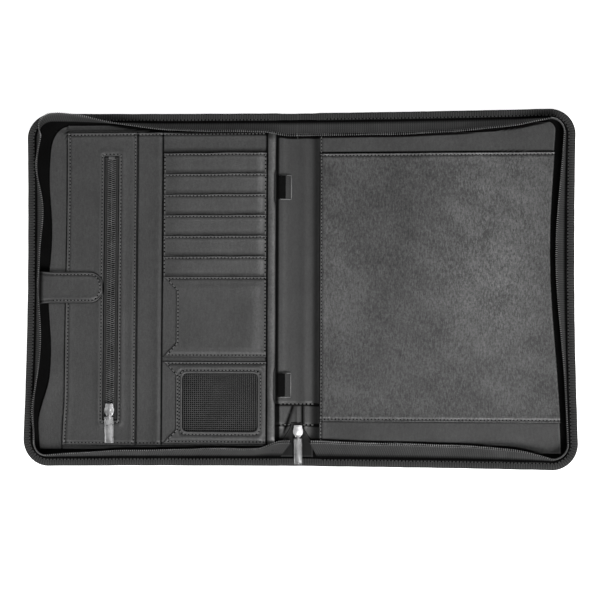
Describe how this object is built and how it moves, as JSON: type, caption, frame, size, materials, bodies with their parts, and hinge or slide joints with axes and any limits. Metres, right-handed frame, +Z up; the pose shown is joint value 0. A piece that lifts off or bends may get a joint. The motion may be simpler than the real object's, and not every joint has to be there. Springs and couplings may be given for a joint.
{
  "type": "portfolio case",
  "caption": "Zipped leather folder for a writing pad, lying open: padded covers on a folding spine, with card slots, zip pocket, document pocket, pen loops and a magnetic tab.",
  "frame": {"origin": "under the middle of the spine, on the surface that the open case lies on", "axes": "+X from the left cover to the right cover, +Y up the page along the spine, +Z up"},
  "size_m": [0.528, 0.34, 0.0208],
  "materials": {
    "outer_leather": "fine grained, satin",
    "inner_leather": "fine grained, satin",
    "pad_leather": "smooth, slightly shiny with soft streaks",
    "fabric": "close ribbed weave, matt",
    "mesh": "open net, matt",
    "elastic": "ribbed elastic webbing",
    "foam": "closed foam",
    "board": "grey board",
    "nylon": "nylon coil",
    "silver_metal": "satin plated die casting"
  },
  "bodies": {
    "right_cover": {"right_outer_skin": "outer_leather", "right_foam_pad": "foam", "right_cover_board": "board", "right_lining": "fabric", "right_edge_binding": "fabric", "right_zip_tape": "fabric", "right_zip_coil": "nylon", "right_base_panel": "inner_leather", "pad_pocket_panel": "pad_leather"},
    "spine": {"spine_outer_skin": "outer_leather", "spine_stiffener": "board", "spine_lining": "inner_leather", "spine_top_binding": "fabric", "spine_bottom_binding": "fabric", "spine_top_gusset": "fabric", "spine_bottom_gusset": "fabric", "pen_loop_upper": "elastic", "pen_loop_lower": "elastic", "main_zip_slider": "silver_metal"},
    "main_pull": {"main_zip_pull": "silver_metal"},
    "left_cover": {"left_outer_skin": "outer_leather", "left_foam_pad": "foam", "left_cover_board": "board", "left_lining": "fabric", "left_edge_binding": "fabric", "left_zip_tape": "fabric", "left_zip_coil": "nylon", "document_pocket_gusset": "fabric", "document_pocket_panel": "inner_leather", "organiser_panel": "inner_leather", "zip_pocket_lining": "fabric", "zip_pocket_panel": "inner_leather", "slip_pocket_panel": "inner_leather", "organiser_spine_roll": "inner_leather", "inner_zip_tape_left": "fabric", "inner_zip_tape_right": "fabric", "inner_zip_coil_left": "nylon", "inner_zip_coil_right": "nylon", "inner_zip_top_stop": "nylon", "inner_zip_bottom_stop": "nylon", "card_slot_1": "inner_leather", "card_slot_2": "inner_leather", "card_slot_3": "inner_leather", "card_slot_4": "inner_leather", "card_slot_5": "inner_leather", "card_slot_6": "inner_leather", "pass_pocket_panel": "inner_leather", "id_pocket_panel": "inner_leather", "id_window_mesh": "mesh", "tab_anchor": "inner_leather", "tab_magnet_plate": "silver_metal"},
    "inner_slider": {"inner_zip_slider": "silver_metal"},
    "inner_pull": {"inner_zip_pull": "silver_metal"},
    "closure_tab": {"tab_front": "inner_leather", "tab_back": "fabric", "tab_magnet": "silver_metal"}
  },
  "joints": [
    {"name": "spine_fold", "type": "hinge", "parent": "right_cover", "child": "spine", "pos_m": [0.017, 0, 0.004], "axis": [0, 1, 0], "range_deg": [0, 90]},
    {"name": "cover_fold", "type": "hinge", "parent": "spine", "child": "left_cover", "pos_m": [-0.017, 0, 0.004], "axis": [0, 1, 0], "range_deg": [0, 90]},
    {"name": "tab_fold", "type": "hinge", "parent": "left_cover", "child": "closure_tab", "pos_m": [-0.243, 0.0005, 0.0112], "axis": [0, 1, 0], "range_deg": [-90, 0]},
    {"name": "main_pull_swing", "type": "hinge", "parent": "spine", "child": "main_pull", "pos_m": [0.0015, -0.1415, 0.0086], "axis": [-1, 0, 0], "range_deg": [0, 160]},
    {"name": "inner_zip_slide", "type": "slide", "parent": "left_cover", "child": "inner_slider", "axis": [0, 1, 0], "range_m": [0, 0.235]},
    {"name": "inner_pull_swing", "type": "hinge", "parent": "inner_slider", "child": "inner_pull", "pos_m": [-0.1804, -0.1218, 0.0142], "axis": [-1, 0, 0], "range_deg": [0, 160]}
  ]
}
